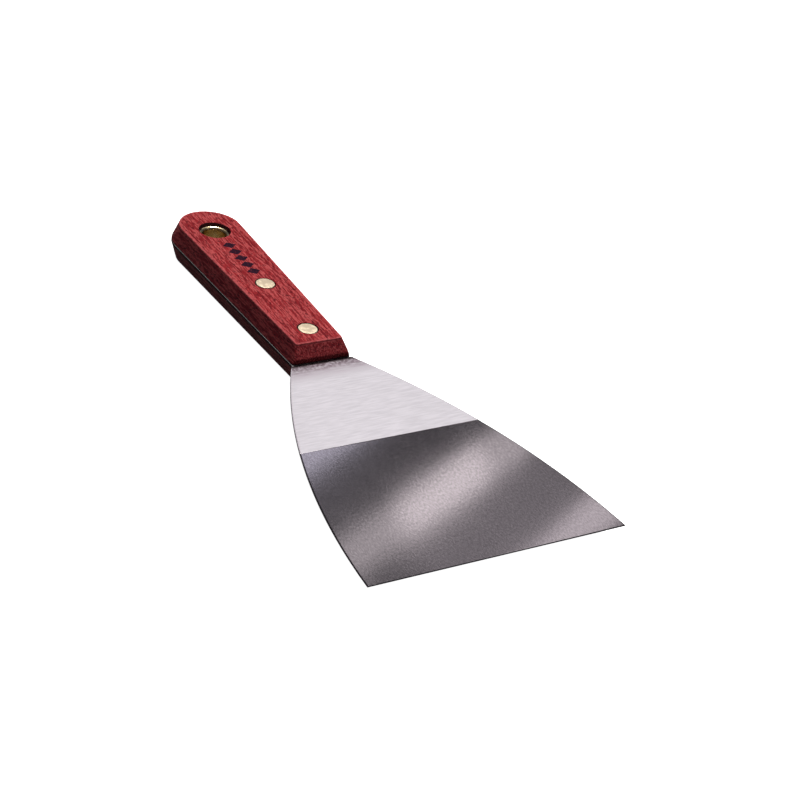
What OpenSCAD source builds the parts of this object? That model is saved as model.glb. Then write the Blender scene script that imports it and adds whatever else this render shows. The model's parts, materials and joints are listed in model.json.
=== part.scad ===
// Drywall taping knife: one flexible steel blade with a full tang, two wooden
// scales, two cutler's rivets of two halves each, and a flared hang-hole eyelet.
// +X runs from the handle to the working edge, +Y across the blade, +Z up.
// The origin is the centre of the footprint, on the surface that the knife lies on.

/* [Blade] */
// Width of the working edge
blade_w = 100; // [75:1:130]
// Length of the blade, from the handle's front to the working edge
blade_l = 120; // [100:1:140]
// Width of the blade where it leaves the handle
root_w = 25.2; // [24:0.2:27]
// Radius of the two bowed sides of the blade
side_r = 265; // [200:5:400]
// Thickness of the tang and of the polished part of the blade
tang_t = 1.0; // [0.8:0.1:1.4]
// Distance from the handle's front to the line where the taper grind starts
grind_from = 50; // [30:1:70]
// Depth of the small step at the grind line, on each face
grind_step = 0.06; // [0:0.01:0.1]
// Thickness of the working edge
edge_t = 0.5; // [0.3:0.05:0.6]

/* [Handle] */
// Length of the handle
handle_l = 108; // [95:1:120]
// Thickness of the handle over both scales
handle_t = 14.5; // [13:0.1:18]
// Width of the handle at the tang, near its rounded end
butt_w = 29.6; // [27:0.5:32]
// Width of the handle at the tang, at its front end
front_w = 24; // [23:0.2:26]
// How far each sloping side leans in between the tang and the outer face
side_lean = 2.3; // [1:0.1:4]
// Length of the bevel at the front end of each scale
bevel_l = 3.4; // [2:0.1:6]
// Height of the upright lip below that bevel
lip_h = 2; // [1:0.1:3]
// Radius of the upright corners at the front end
corner_r = 1.4; // [0.8:0.1:2]
// Width of the eased edge round each outer face
eased = 0.4; // [0.2:0.1:0.8]

/* [Rivets] */
// Distance from the handle's front to the front rivet
front_rivet_from = 12.6; // [10:0.1:18]
// Distance from the handle's front to the rear rivet
rear_rivet_from = 46.4; // [35:0.1:60]
// Diameter of a rivet's head
head_d = 7.3; // [6:0.1:8]
// Thickness of a rivet's head
head_t = 1.5; // [1:0.1:2]
// Diameter of the seat that is sunk into the wood for a head
seat_d = 8; // [8:0.1:9]
// Outer diameter of the hollow shank
shank_d = 4.8; // [4:0.1:5]
// Diameter of the solid pin that is driven into the shank
pin_d = 3; // [2:0.1:3.2]
// Height of the front rivet's top head above the wood, below it if negative
front_rivet_proud = -0.05; // [-0.3:0.05:0.3]
// Height of the rear rivet's top head above the wood, below it if negative
rear_rivet_proud = 0.15; // [-0.3:0.05:0.3]
// How far the lower heads are sunk below the wood
lower_sunk = 0.15; // [0.05:0.05:0.3]

/* [Hang hole] */
// Distance from the handle's front to the centre of the hang hole
hang_from = 89.6; // [80:0.1:92]
// Bore of the eyelet
bore_d = 8.9; // [6:0.1:9]
// Wall of the eyelet
eyelet_wall = 0.5; // [0.4:0.05:0.7]
// Radius of the flare at each end of the eyelet
flare_r = 1.1; // [0.9:0.05:1.3]
// Diameter of the recess round the eyelet's flare
recess_d = 12.5; // [12:0.1:13.5]
// Depth of the flare's top below the wood
flare_sunk = 1.3; // [1:0.1:2]

/* [Hidden] */
$fn = 96;
overall_l = handle_l + blade_l;
butt_x = -overall_l / 2;
front_x = butt_x + handle_l;
edge_x = overall_l / 2;
grind_x = front_x + grind_from;
mid_z = handle_t / 2;
scale_t = (handle_t - tang_t) / 2;
tang_inset = 0.1;        // the tang's sides stand this far inside the scales
edge_bevel = 0.12;       // bevel of the working edge, and of a head's underside
step_run = 0.5;          // length over which the grind step falls
head_bevel = 0.3;        // bevel round the top of a rivet's head
skin = 0.01;             // thickness of the layers that a scale is hulled from
wood_fit = 0.05;         // radial clearance of a shank or eyelet in the wood
steel_fit = 0.15;        // the same in the tang
end_gap = 0.8;           // free length between a shank's end and the far head
cap_t = 0.9;             // metal left between the pin's tip and the hollow half's head
over = 1;                // how far a cutting shape runs past what it cuts
end_steps = 48;          // straight pieces that make up the tang's rounded end
FRONT = front_x - front_rivet_from;
REAR = front_x - rear_rivet_from;
HANG = front_x - hang_from;
ROUND_X = butt_x + butt_w / 2;   // centre of the handle's rounded end

STEEL = [0.72, 0.71, 0.73];
WOOD = [0.55, 0.16, 0.17];
BRASS = [0.85, 0.74, 0.50];

// Centre of a bowed side: the point side_r away from the root's corner and the edge's corner.
function side_centre() =
    let (
        a = [front_x, root_w / 2],
        b = [edge_x, blade_w / 2],
        chord = b - a,
        half = norm(chord) / 2,
        inward = [chord[1], -chord[0]] / norm(chord)
    )
    (a + b) / 2 + inward * sqrt(side_r * side_r - half * half);

// Plan of the blade in front of the handle: two arcs cut off square at the root and the edge.
module blade_plan() {
    c = side_centre();
    intersection() {
        translate([c[0], c[1]]) circle(r = side_r);
        translate([c[0], -c[1]]) circle(r = side_r);
        translate([front_x, -blade_w]) square([blade_l, 2 * blade_w]);
    }
}

// The tang follows the handle's outline, a little inside it: a round end and two straight sides.
module tang_plan() {
    r = butt_w / 2 - tang_inset;
    lean = asin((butt_w - front_w) / 2 / (front_x - ROUND_X));
    round_end = [
        for (i = [0 : end_steps])
            let (a = 90 - lean + (180 + 2 * lean) * i / end_steps)
            [ROUND_X + r * cos(a), r * sin(a)]
    ];
    front_y = front_w / 2 - tang_inset;
    polygon(concat([[front_x + over, -front_y], [front_x + over, front_y]], round_end));
}

// Side view of the blade and tang: level, a small step at the grind line, then a taper.
module blade_profile() {
    half = tang_t / 2;
    tip = edge_t / 2;
    upper = [
        [butt_x - over, half],
        [grind_x, half],
        [grind_x + step_run, half - grind_step],
        [edge_x - edge_bevel, tip],
        [edge_x, tip - edge_bevel]
    ];
    lower = [for (i = [len(upper) - 1 : -1 : 0]) [upper[i][0], -upper[i][1]]];
    polygon(concat(upper, lower));
}

module blade() {
    color(STEEL)
    translate([0, 0, mid_z])
    difference() {
        intersection() {
            translate([0, 0, -tang_t])
                linear_extrude(2 * tang_t)
                    union() {
                        blade_plan();
                        tang_plan();
                    }
            rotate([90, 0, 0])
                linear_extrude(2 * blade_w, center = true)
                    blade_profile();
        }
        for (x = [FRONT, REAR])
            translate([x, 0, -tang_t])
                cylinder(d = shank_d + 2 * steel_fit, h = 2 * tang_t);
        translate([HANG, 0, -tang_t])
            cylinder(d = bore_d + 2 * (eyelet_wall + steel_fit), h = 2 * tang_t);
    }
}

// One thin layer of a scale, as the three round posts whose hull is its outline.
module layer(z, half_butt, half_front, end_x) {
    translate([ROUND_X, 0, z])
        cylinder(r = half_butt, h = skin, $fn = 72);
    for (side = [-1, 1])
        translate([end_x - corner_r, side * (half_front - corner_r), z])
            cylinder(r = corner_r, h = skin, $fn = 32);
}

// The solid of one scale, lying on z = 0 with its outer face up.
module scale_block() {
    lean_at_lip = side_lean * lip_h / scale_t;
    hull() {
        layer(0, butt_w / 2, front_w / 2, front_x);
        layer(lip_h, butt_w / 2 - lean_at_lip, front_w / 2 - lean_at_lip, front_x);
        layer(scale_t - eased, butt_w / 2 - side_lean, front_w / 2 - side_lean,
            front_x - bevel_l);
        layer(scale_t - skin, butt_w / 2 - side_lean - eased,
            front_w / 2 - side_lean - eased, front_x - bevel_l - eased);
    }
}

// Hole and sunk seat for one rivet, open at the outer face.
module rivet_hole(x, proud) {
    translate([x, 0, -over])
        cylinder(d = shank_d + 2 * wood_fit, h = scale_t + 2 * over);
    translate([x, 0, scale_t - head_t + proud])
        cylinder(d = seat_d, h = head_t + over);
}

// Hole, eased shoulder and recess for the eyelet.
module eyelet_hole() {
    outer_r = bore_d / 2 + eyelet_wall + wood_fit;
    floor_z = scale_t - flare_sunk - eyelet_wall;
    ease = flare_r - eyelet_wall;
    translate([HANG, 0, -over])
        cylinder(r = outer_r, h = scale_t + 2 * over);
    translate([HANG, 0, floor_z - ease])
        cylinder(r1 = outer_r, r2 = outer_r + ease, h = ease);
    translate([HANG, 0, floor_z])
        cylinder(d = recess_d, h = scale_t);
}

// A scale with its holes. The two numbers say how far each rivet's head stands proud.
module drilled_scale(front_proud, rear_proud) {
    difference() {
        scale_block();
        rivet_hole(FRONT, front_proud);
        rivet_hole(REAR, rear_proud);
        eyelet_hole();
    }
}

module top_scale() {
    color(WOOD)
        translate([0, 0, mid_z + tang_t / 2])
            drilled_scale(front_rivet_proud, rear_rivet_proud);
}

module bottom_scale() {
    color(WOOD)
        translate([0, 0, mid_z - tang_t / 2])
            mirror([0, 0, 1])
                drilled_scale(-lower_sunk, -lower_sunk);
}

// Half section of a rivet's head: its underside on z = 0, a bevel round its top.
function head_section() = [
    [0, 0], [head_d / 2 - edge_bevel, 0], [head_d / 2, edge_bevel],
    [head_d / 2, head_t - head_bevel], [head_d / 2 - head_bevel, head_t],
    [0, head_t]
];

// Hollow half of a rivet: the head on top and a blind shank below it.
module rivet_socket(x, proud) {
    seat_z = handle_t - head_t + proud;
    far_seat_z = head_t + lower_sunk;
    color(BRASS)
    translate([x, 0, seat_z])
    difference() {
        union() {
            rotate_extrude() polygon(head_section());
            translate([0, 0, -(seat_z - far_seat_z - end_gap)])
                cylinder(d = shank_d, h = seat_z - far_seat_z - end_gap + over / 2);
        }
        translate([0, 0, -seat_z])
            cylinder(d = pin_d, h = seat_z + head_t - cap_t - end_gap);
    }
}

// Solid half of a rivet: the head below and a pin driven up into the hollow half.
module rivet_pin(x, proud) {
    seat_z = head_t + lower_sunk;
    tip_z = handle_t + proud - cap_t - 2 * end_gap;
    color(BRASS)
    translate([x, 0, seat_z])
    union() {
        mirror([0, 0, 1]) rotate_extrude() polygon(head_section());
        translate([0, 0, -over / 2])
            cylinder(d = pin_d, h = tip_z - seat_z + over / 2);
    }
}

module front_rivet_socket() { rivet_socket(FRONT, front_rivet_proud); }
module front_rivet_pin() { rivet_pin(FRONT, front_rivet_proud); }
module rear_rivet_socket() { rivet_socket(REAR, rear_rivet_proud); }
module rear_rivet_pin() { rivet_pin(REAR, rear_rivet_proud); }

// Half section of one flare: a quarter ring that turns the tube's wall outwards.
module flare_section() {
    translate([bore_d / 2 + flare_r, 0])
        intersection() {
            difference() {
                circle(r = flare_r);
                circle(r = flare_r - eyelet_wall);
            }
            translate([-flare_r, 0]) square(flare_r);
        }
}

// The eyelet: a straight tube through the handle, flared into both recesses.
module hang_hole_eyelet() {
    flare_z = mid_z - flare_sunk - flare_r;
    color(BRASS)
    translate([HANG, 0, mid_z])
    rotate_extrude()
    union() {
        translate([bore_d / 2, -flare_z]) square([eyelet_wall, 2 * flare_z]);
        translate([0, flare_z]) flare_section();
        mirror([0, 1]) translate([0, flare_z]) flare_section();
    }
}

blade();
top_scale();
bottom_scale();
front_rivet_socket();
front_rivet_pin();
rear_rivet_socket();
rear_rivet_pin();
hang_hole_eyelet();
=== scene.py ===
"""The looks of a drywall taping knife: ground steel, dyed hardwood scales and brass.

Every length is in metres, in the frame of the CAD model: +X runs from the handle to the
working edge, +Y across the blade and +Z up. The main sizes are read from the CAD model.
"""

import sys

import json
import logging
import math
from dataclasses import dataclass, field
from enum import Enum

import bpy
import numpy as np
from mathutils import Matrix, Vector


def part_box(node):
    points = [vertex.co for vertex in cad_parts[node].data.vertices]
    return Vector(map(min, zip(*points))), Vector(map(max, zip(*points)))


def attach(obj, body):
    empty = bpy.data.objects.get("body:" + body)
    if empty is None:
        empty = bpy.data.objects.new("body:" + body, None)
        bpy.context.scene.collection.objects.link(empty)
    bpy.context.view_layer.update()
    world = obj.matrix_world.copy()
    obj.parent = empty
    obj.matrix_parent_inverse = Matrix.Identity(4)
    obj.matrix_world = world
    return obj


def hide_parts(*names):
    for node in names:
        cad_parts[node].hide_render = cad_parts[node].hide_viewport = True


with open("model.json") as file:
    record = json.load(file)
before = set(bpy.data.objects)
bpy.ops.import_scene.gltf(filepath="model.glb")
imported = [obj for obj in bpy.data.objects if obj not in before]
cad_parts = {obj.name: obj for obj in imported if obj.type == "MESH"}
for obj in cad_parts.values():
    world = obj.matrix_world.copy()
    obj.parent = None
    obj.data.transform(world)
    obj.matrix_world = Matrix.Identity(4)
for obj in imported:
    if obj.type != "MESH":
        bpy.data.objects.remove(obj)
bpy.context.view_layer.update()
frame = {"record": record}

MM = 0.001
BODY = "root"
log = logging.getLogger("taping_knife")


# ---------------------------------------------------------------- sizes from the CAD model


@dataclass(frozen=True)
class Knife:
    """The sizes that several pieces share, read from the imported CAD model.

    Attributes:
        butt_x: rounded end of the handle.
        front_x: front end of the handle, where the blade starts.
        edge_x: working edge.
        mid_z: height of the middle of the blade.
        tang_t: thickness of the tang.
        scale_t: thickness of one scale.
        butt_r: radius of the handle's rounded end at the tang.
        edge_half: half the width of the working edge.
        hang_x: centre of the hang hole.
        bore_r: radius of the hang hole's bore.
    """

    butt_x: float
    front_x: float
    edge_x: float
    mid_z: float
    tang_t: float
    scale_t: float
    butt_r: float
    edge_half: float
    hang_x: float
    bore_r: float

    @classmethod
    def from_frame(cls) -> "Knife":
        """Reads the boxes of the blade and the upper scale, and the hang hole's mount.

        Returns:
            The shared sizes.
        """
        blade_low, blade_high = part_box("blade")
        scale_low, scale_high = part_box("top_scale")
        mount = next(m for m in frame["record"]["mounts"] if m["name"] == "hang_hole")
        return cls(
            butt_x=scale_low.x,
            front_x=scale_high.x,
            edge_x=blade_high.x,
            mid_z=(blade_low.z + blade_high.z) / 2,
            tang_t=blade_high.z - blade_low.z,
            scale_t=scale_high.z - scale_low.z,
            butt_r=(scale_high.y - scale_low.y) / 2,
            edge_half=blade_high.y,
            hang_x=mount["pos_m"][0],
            bore_r=mount["dims"]["r_mm"] * MM,
        )

    @property
    def round_x(self) -> float:
        """Centre of the handle's rounded end."""
        return self.butt_x + self.butt_r


# ---------------------------------------------------------------- meshes from arrays


def smoothstep(x: np.ndarray, low: float, high: float) -> np.ndarray:
    """Rises from 0 at low to 1 at high along the curve 3t^2 - 2t^3."""
    t = np.clip((x - low) / (high - low), 0, 1)
    return t * t * (3 - 2 * t)


def link(piece: bpy.types.Object) -> bpy.types.Object:
    """Puts an object into the scene and returns it."""
    bpy.context.scene.collection.objects.link(piece)
    return piece


def fan_volume(corners: np.ndarray) -> float:
    """Six times the signed volume between the origin and polygons, given as corner points.

    Each polygon is cut into a fan of triangles a, b, c, and a . (b x c) is added up.
    """
    a, b, c = corners[:, :1], corners[:, 1:-1], corners[:, 2:]
    return float((a * np.cross(b, c)).sum())


def skin(name: str, rings: np.ndarray, closed_path: bool = False) -> bpy.types.Object:
    """Joins rings of points with four-sided faces into one closed surface.

    Ring i and ring i + 1 are joined point by point, and each ring is closed on itself. An
    open row of rings gets a flat face at each end. The faces are turned round if the volume
    that they close off comes out negative, so that they always face outwards.

    Args:
        name: the new object's name.
        rings: points as an array of ring, point and coordinate.
        closed_path: whether the last ring joins the first one.

    Returns:
        The new object, at the origin.
    """
    count, around, _ = rings.shape
    rows = count if closed_path else count - 1
    i, j = np.meshgrid(np.arange(rows), np.arange(around), indexing="ij")
    here, after = i * around, (i + 1) % count * around
    across = (j + 1) % around
    quads = np.stack([here + j, here + across, after + across, after + j], -1).reshape(-1, 4)
    first, last = np.arange(around), np.arange(around) + (count - 1) * around
    ends = [] if closed_path else [first[::-1], last]
    points = rings.reshape(-1, 3)
    sides = [quads, *(end[None] for end in ends)]
    volume = sum(fan_volume(points[polygons]) for polygons in sides)
    turn = slice(None, None, 1 if volume > 0 else -1)
    faces = quads[:, turn].tolist() + [end[turn].tolist() for end in ends]
    mesh = bpy.data.meshes.new(name)
    mesh.from_pydata(points, [], faces)
    mesh.validate()
    return link(bpy.data.objects.new(name, mesh))


def lathe(name: str, profile: np.ndarray, x: float, around: int = 96) -> bpy.types.Object:
    """Turns a closed profile about the upright axis at x, y = 0.

    A point (r, z) of the profile goes to (x + r cos a, r sin a, z) for each angle a.

    Args:
        name: the new object's name.
        profile: radius and height of each point, in order round the closed section, or from
            the axis to the axis.
        x: place of the axis.
        around: points in each circle.

    Returns:
        The new object.
    """
    angle = np.linspace(0, 2 * math.pi, around, endpoint=False)
    radius, height = profile[:, :1], profile[:, 1:]
    rings = np.stack(
        [
            x + radius * np.cos(angle),
            radius * np.sin(angle),
            np.broadcast_to(height, (len(profile), around)),
        ],
        -1,
    )
    on_axis = profile[0, 0] < 2e-5
    return skin(name, rings, closed_path=not on_axis)


def arc(centre: tuple[float, float], r: float, start: float, end: float, n: int) -> np.ndarray:
    """Points at distance r from the centre, at n even angles from start to end in degrees."""
    a = np.radians(np.linspace(start, end, n))
    return np.stack([centre[0] + r * np.cos(a), centre[1] + r * np.sin(a)], -1)


def bake_modifiers(piece: bpy.types.Object) -> None:
    """Replaces the piece's mesh by the one that its modifiers make, and drops them.

    Args:
        piece: the object, which is changed.
    """
    graph = bpy.context.evaluated_depsgraph_get()
    made = bpy.data.meshes.new_from_object(piece.evaluated_get(graph))
    old = piece.data
    piece.modifiers.clear()
    made.name = old.name
    piece.data = made
    bpy.data.meshes.remove(old)


def cut(piece: bpy.types.Object, cutters: list[bpy.types.Object]) -> None:
    """Takes the cutters' shapes out of the piece, and removes the cutters.

    Args:
        piece: the object to cut.
        cutters: closed objects, which are used up.
    """
    for cutter in cutters:
        step = piece.modifiers.new("cut", "BOOLEAN")
        step.operation = "DIFFERENCE"
        step.solver = "EXACT"
        step.object = cutter
    bake_modifiers(piece)
    for cutter in cutters:
        mesh = cutter.data
        bpy.data.objects.remove(cutter)
        bpy.data.meshes.remove(mesh)


def positions(piece: bpy.types.Object) -> np.ndarray:
    """Reads every vertex of the piece.

    Args:
        piece: the object.

    Returns:
        An array of vertex and coordinate.
    """
    co = np.empty(len(piece.data.vertices) * 3)
    piece.data.vertices.foreach_get("co", co)
    return co.reshape(-1, 3)


def set_attribute(piece: bpy.types.Object, name: str, values: np.ndarray) -> None:
    """Stores one number for each vertex under that name, for the materials to read."""
    layer = piece.data.attributes.new(name, "FLOAT", "POINT")
    layer.data.foreach_set("value", values.astype(np.float32))


def shade(piece: bpy.types.Object, crease_deg: float = 35) -> None:
    """Smooth shading that keeps flat faces flat and breaks at sharp edges.

    Args:
        piece: the object.
        crease_deg: angle from which an edge is sharp.
    """
    piece.data.shade_smooth()
    piece.data.set_sharp_from_angle(angle=math.radians(crease_deg))
    weighted = piece.modifiers.new("even_normals", "WEIGHTED_NORMAL")
    weighted.mode = "FACE_AREA"
    weighted.weight = 100
    weighted.keep_sharp = True


def hand_over(piece: bpy.types.Object, node: str, material: bpy.types.Material) -> None:
    """Dresses a finished piece, and lets it ride and stand for its CAD node.

    Args:
        piece: the finished object.
        node: the CAD node that it stands for.
        material: its finish.
    """
    piece.data.materials.clear()
    piece.data.materials.append(material)
    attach(piece, BODY)
    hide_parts(node)
    log.info("%s: %d vertices, for %s", piece.name, len(piece.data.vertices), node)


# ---------------------------------------------------------------- node tools

Socket = bpy.types.NodeSocket
Colour = tuple[float, float, float]


def rgba(colour: Colour) -> tuple[float, float, float, float]:
    """The colour with full alpha."""
    return (*colour, 1.0)


class Nodes:
    """Adds nodes to one node tree and links them."""

    def __init__(self, tree: bpy.types.NodeTree) -> None:
        """Keeps the tree that nodes are added to."""
        self.tree = tree

    def put(self, value: object, socket: Socket) -> None:
        """Links or sets one input.

        Args:
            value: a socket to link, a plain value to set, or None to leave the input alone.
            socket: the input.
        """
        if isinstance(value, Socket):
            self.tree.links.new(value, socket)
        elif value is not None:
            socket.default_value = value

    def add(self, kind: str, inputs: dict | None = None, **settings: object) -> bpy.types.Node:
        """Adds a node.

        Args:
            kind: the node's type, without the word ShaderNode at its start.
            inputs: value or socket for each input, by name or number.
            settings: the node's own properties.

        Returns:
            The new node.
        """
        node = self.tree.nodes.new("ShaderNode" + kind)
        for name, value in settings.items():
            setattr(node, name, value)
        for name, value in (inputs or {}).items():
            self.put(value, node.inputs[name])
        return node

    def math(self, operation: str, *values: object) -> Socket:
        """One step of arithmetic on up to three values, and its result."""
        return self.add("Math", dict(enumerate(values)), operation=operation).outputs[0]

    def swing(self, mask: Socket, by: float, about: object) -> Socket:
        """A value that goes by * (mask - 0.5) away from about."""
        return self.math("MULTIPLY_ADD", self.math("SUBTRACT", mask, 0.5), by, about)

    def ramp(
        self, value: object, low: float, high: float, out_low: float = 0, out_high: float = 1
    ) -> Socket:
        """Maps low..high to out_low..out_high along a smooth step, and holds it outside."""
        inputs = dict(enumerate((value, low, high, out_low, out_high)))
        return self.add("MapRange", inputs, interpolation_type="SMOOTHSTEP").outputs[0]

    def mix(self, factor: object, a: object, b: object, blend: str = "MIX") -> Socket:
        """Blends colour b over colour a by the factor."""
        inputs = {0: factor, 6: a, 7: b}
        return self.add("Mix", inputs, data_type="RGBA", blend_type=blend).outputs[2]

    def grey(self, value: object) -> Socket:
        """The colour that has the value in all three channels."""
        return self.add("CombineColor", {0: value, 1: value, 2: value}).outputs[0]

    def shaded(self, colour: Colour, value: object) -> Socket:
        """The colour times a value."""
        return self.mix(1.0, rgba(colour), self.grey(value), "MULTIPLY")

    def attribute(self, name: str) -> Socket:
        """The number that the mesh holds under that name."""
        return self.add("Attribute", attribute_name=name).outputs["Fac"]

    def noise(self, at: Socket, scale: object, detail: object = 2.0, rough: float = 0.5) -> Socket:
        """The value of fractal noise."""
        inputs = {"Vector": at, "Scale": scale, "Detail": detail, "Roughness": rough}
        return self.add("TexNoise", inputs).outputs["Fac"]

    def group(self, tree: bpy.types.NodeTree, inputs: dict) -> Socket:
        """Adds a node group.

        Args:
            tree: the group's tree.
            inputs: value or socket for each input, by name.

        Returns:
            The group's first output.
        """
        node = self.tree.nodes.new("ShaderNodeGroup")
        node.node_tree = tree
        for name, value in inputs.items():
            self.put(value, node.inputs[name])
        return node.outputs[0]


def new_group(name: str, inputs: list[tuple[str, str, object]]) -> tuple[Nodes, dict, Socket]:
    """Starts a shader node group that gives one mask.

    Args:
        name: the group's name.
        inputs: name, kind and default value of each input.

    Returns:
        The group's node tools, its inputs by name, and the socket that takes the mask.
    """
    tree = bpy.data.node_groups.new(name, "ShaderNodeTree")
    for label, kind, default in inputs:
        socket = tree.interface.new_socket(label, in_out="INPUT", socket_type="NodeSocket" + kind)
        if default is not None:
            socket.default_value = default
    tree.interface.new_socket("Mask", in_out="OUTPUT", socket_type="NodeSocketFloat")
    given = tree.nodes.new("NodeGroupInput").outputs
    return Nodes(tree), given, tree.nodes.new("NodeGroupOutput").inputs["Mask"]


@dataclass(frozen=True)
class Grain:
    """One layer of streaks.

    Attributes:
        per_metre: how often it changes along each axis.
        detail: how much finer noise is laid over it.
        low: noise value at which it starts.
        high: noise value from which it is full.
    """

    per_metre: tuple[float, float, float]
    detail: float
    low: float = 0.3
    high: float = 0.7


class Effects:
    """The shader node groups that more than one finish uses, each built once."""

    def __init__(self) -> None:
        """Builds the three groups."""
        self.streaks = self._streaks()
        self.mottle = self._mottle()
        self.edge_wear_and_highlight = self._edge_wear_and_highlight()

    def _streaks(self) -> bpy.types.NodeTree:
        """Noise drawn out along one direction: lines of grain, grinding or brushing.

        Returns:
            The group's tree.
        """
        n, given, mask = new_group("streaks", [
            ("Vector", "Vector", None), ("Per Metre", "Vector", (100, 1000, 1000)),
            ("Detail", "Float", 2.0), ("Low", "Float", 0.3), ("High", "Float", 0.7),
        ])
        drawn_out = n.add(
            "VectorMath", {0: given["Vector"], 1: given["Per Metre"]}, operation="MULTIPLY"
        ).outputs[0]
        noise = n.noise(drawn_out, 1.0, given["Detail"], 0.6)
        n.put(n.ramp(noise, given["Low"], given["High"]), mask)
        return n.tree

    def _mottle(self) -> bpy.types.NodeTree:
        """Cloudy patches: the noise value, stretched between two levels.

        Returns:
            The group's tree.
        """
        n, given, mask = new_group("mottle", [
            ("Vector", "Vector", None), ("Per Metre", "Float", 300.0),
            ("Low", "Float", 0.35), ("High", "Float", 0.65),
        ])
        noise = n.noise(given["Vector"], given["Per Metre"], 4.0, 0.55)
        n.put(n.ramp(noise, given["Low"], given["High"]), mask)
        return n.tree

    def _edge_wear_and_highlight(self) -> bpy.types.NodeTree:
        """The mesh's own edge value, broken up by fine noise and scaled by an amount: edge wear and a
        painted highlight.

        Returns:
            The group's tree.
        """
        n, given, mask = new_group("edge_wear_and_highlight", [
            ("Vector", "Vector", None), ("Per Metre", "Float", 700.0), ("Amount", "Float", 1.0),
        ])
        noise = n.noise(given["Vector"], given["Per Metre"], 3.0)
        worn = n.math("MULTIPLY", n.attribute("edge"), n.ramp(noise, 0.35, 0.6, 0.35, 1.0))
        n.put(n.math("MULTIPLY", worn, given["Amount"]), mask)
        return n.tree

    def lines(self, n: Nodes, at: Socket, grain: Grain) -> Socket:
        """Mask of one layer of streaks at a place."""
        return n.group(self.streaks, {"Vector": at, "Per Metre": grain.per_metre,
                                      "Detail": grain.detail, "Low": grain.low, "High": grain.high})

    def clouds(self, n: Nodes, at: Socket, per_metre: float, low: float, high: float) -> Socket:
        """Mask of cloudy patches at a place."""
        return n.group(self.mottle, {"Vector": at, "Per Metre": per_metre, "Low": low, "High": high})

    def edge_wear_and_highlight_mask(self, n: Nodes, at: Socket, amount: float) -> Socket:
        """Mask of the worn edges and their painted highlight at a place."""
        return n.group(self.edge_wear_and_highlight, {"Vector": at, "Amount": amount})


def new_material(name: str) -> tuple[bpy.types.Material, Nodes, bpy.types.Node, Socket]:
    """Starts a material.

    Args:
        name: the material's name.

    Returns:
        The material, its node tools, its Principled shader and its object coordinates.
    """
    material = bpy.data.materials.new(name)
    material.use_nodes = True
    n = Nodes(material.node_tree)
    shader = material.node_tree.nodes["Principled BSDF"]
    return material, n, shader, n.add("TexCoord").outputs["Object"]


def finish_off(
    n: Nodes, shader: bpy.types.Node, colour: Socket, rough: Socket, height: Socket,
    relief: float, strength: float,
) -> None:
    """Feeds a shader with colour, roughness and relief.

    Args:
        n: the material's node tools.
        shader: its Principled shader.
        colour: base colour.
        rough: roughness.
        height: height of the surface's relief.
        relief: how far a height of 1 stands out.
        strength: how strongly the relief tilts the surface.
    """
    bump = n.add("Bump", {"Height": height, "Strength": strength, "Distance": relief})
    n.put(colour, shader.inputs["Base Color"])
    n.put(rough, shader.inputs["Roughness"])
    n.put(bump.outputs[0], shader.inputs["Normal"])


# ---------------------------------------------------------------- finishes


@dataclass(frozen=True)
class Stamp:
    """A plain stamped ornament: a row of lozenges with no lettering.

    Attributes:
        centre_x: middle of the ornament along the handle.
        top_z: height above which the wood is marked.
        pitch: distance from lozenge to lozenge.
        count: number of lozenges.
        half_w: half the ornament's width across the handle.
        filled: the share of a pitch that a lozenge takes up, each way from its middle.
        ink: the darkened wood's colour.
        weight: how much of the wood's colour the ink covers.
        depth: how deep it is, in units of the wood's relief.
    """

    centre_x: float
    top_z: float
    pitch: float = 5.2 * MM
    count: int = 5
    half_w: float = 2.9 * MM
    filled: float = 0.46
    ink: Colour = (0.012, 0.006, 0.016)
    weight: float = 0.97
    depth: float = 2.0

    def mask(self, n: Nodes, at: Socket) -> Socket:
        """The ornament's mask.

        A lozenge is where |x| / a + |y| / b is under 1, with x folded into one pitch. The row
        ends where |x| passes half its length, and it is only on the outer face.

        Args:
            n: the material's node tools.
            at: object coordinates.

        Returns:
            1 inside a lozenge and 0 outside, lightened by worn specks.
        """
        place = n.add("SeparateXYZ", {0: at}).outputs
        along = n.math("SUBTRACT", place[0], self.centre_x)
        folded = n.math("ABSOLUTE", n.math("WRAP", along, self.pitch / 2, -self.pitch / 2))
        shape = n.math(
            "ADD",
            n.math("DIVIDE", folded, self.pitch * self.filled),
            n.math("DIVIDE", n.math("ABSOLUTE", place[1]), self.half_w),
        )
        end = self.pitch * self.count / 2
        in_row = n.ramp(n.math("ABSOLUTE", along), end, end - 0.02 * MM)
        row = n.math("MULTIPLY", n.ramp(shape, 1.06, 0.94), in_row)
        on_face = n.math("MULTIPLY", row, n.math("GREATER_THAN", place[2], self.top_z))
        return n.math("MULTIPLY", on_face, n.ramp(n.noise(at, 2500.0), 0.30, 0.45, 0.72, 1.0))


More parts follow.
